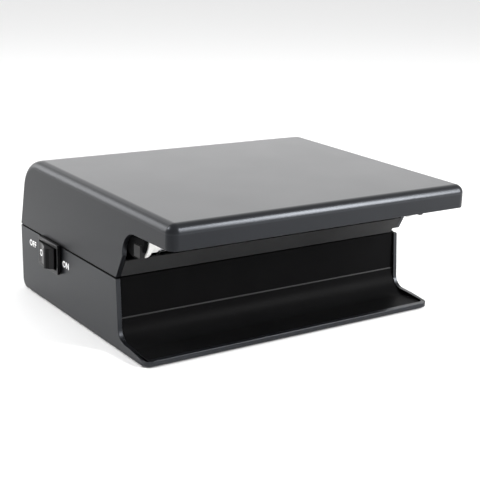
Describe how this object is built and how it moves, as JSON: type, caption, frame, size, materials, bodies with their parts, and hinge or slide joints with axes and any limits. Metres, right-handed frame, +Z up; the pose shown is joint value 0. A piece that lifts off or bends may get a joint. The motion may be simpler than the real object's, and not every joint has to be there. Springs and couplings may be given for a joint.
{
  "type": "counterfeit bill detector",
  "caption": "C-shaped black countertop banknote checker: an open tray under a lid that holds an ultraviolet tube, with a rocker switch in its side.",
  "frame": {"origin": "bottom centre of the whole object's box, on the counter under the rubber feet", "axes": "+X to the right along the casing, so the switch is on the -X side; +Y from the tray towards the back wall; +Z up"},
  "size_m": [0.1662, 0.1484, 0.068],
  "materials": {
    "casing": "satin black moulded ABS with a fine texture",
    "switch_plastic": "black rocker switch, slightly glossier than the casing",
    "inlet_plastic": "black",
    "holder_black": "black",
    "holder_white": "white",
    "lamp_glass": "white phosphor behind clear glass, unlit",
    "cap_aluminium": "bright",
    "brass": "bright",
    "reflector": "white",
    "pin_metal": "nickel plated",
    "rubber": "matt black",
    "screw_steel": "zinc plated",
    "board": "green solder mask",
    "ferrite": "dark grey ferrite",
    "copper": "enamelled copper winding",
    "capacitor_sleeve": "blue sleeve",
    "film_red": "dark red dipped resin",
    "resin_black": "moulded epoxy",
    "fuse_glass": "clear",
    "wire_brown": "brown sleeve",
    "wire_blue": "blue sleeve",
    "wire_white": "white sleeve"
  },
  "bodies": {
    "casing": {"lower_housing": "casing", "upper_housing": "casing", "housing_screw_front_left": "screw_steel", "housing_screw_front_right": "screw_steel", "housing_screw_back_left": "screw_steel", "housing_screw_back_right": "screw_steel", "foot_front_left": "rubber", "foot_front_right": "rubber", "foot_back_left": "rubber", "foot_back_right": "rubber", "lamp_bracket_left": "holder_black", "lamp_bracket_right": "holder_black", "lamp_holder_left": "holder_white", "lamp_holder_right": "holder_white", "reflector": "reflector", "switch_frame": "switch_plastic", "switch_terminal_front": "brass", "switch_terminal_back": "brass", "inlet_body": "inlet_plastic", "inlet_pin_left": "pin_metal", "inlet_pin_right": "pin_metal", "circuit_board": "board", "board_screw_left": "screw_steel", "board_screw_right": "screw_steel", "choke_core": "ferrite", "choke_winding": "copper", "reservoir_capacitor": "capacitor_sleeve", "film_capacitor": "film_red", "transistor_left": "resin_black", "transistor_right": "resin_black", "fuse": "fuse_glass", "wire_inlet_to_switch": "wire_brown", "wire_switch_to_board": "wire_brown", "wire_inlet_to_board": "wire_blue", "wire_lamp_left": "wire_white", "wire_lamp_right": "wire_white"},
    "rocker": {"switch_rocker": "switch_plastic"},
    "lamp": {"lamp_tube": "lamp_glass", "lamp_cap_left": "cap_aluminium", "lamp_cap_right": "cap_aluminium", "lamp_pin_left_a": "brass", "lamp_pin_left_b": "brass", "lamp_pin_right_a": "brass", "lamp_pin_right_b": "brass", "lamp_rotor_left": "holder_white", "lamp_rotor_right": "holder_white"}
  },
  "joints": [
    {"name": "rocker_throw", "type": "hinge", "parent": "casing", "child": "rocker", "pos_m": [-0.0749, 0.03585, 0.0259], "axis": [0, 0, 1], "range_deg": [0, 28]},
    {"name": "lamp_twist", "type": "hinge", "parent": "casing", "child": "lamp", "pos_m": [0.0031, -0.04065, 0.0534], "axis": [1, 0, 0], "range_deg": [0, 90]}
  ]
}
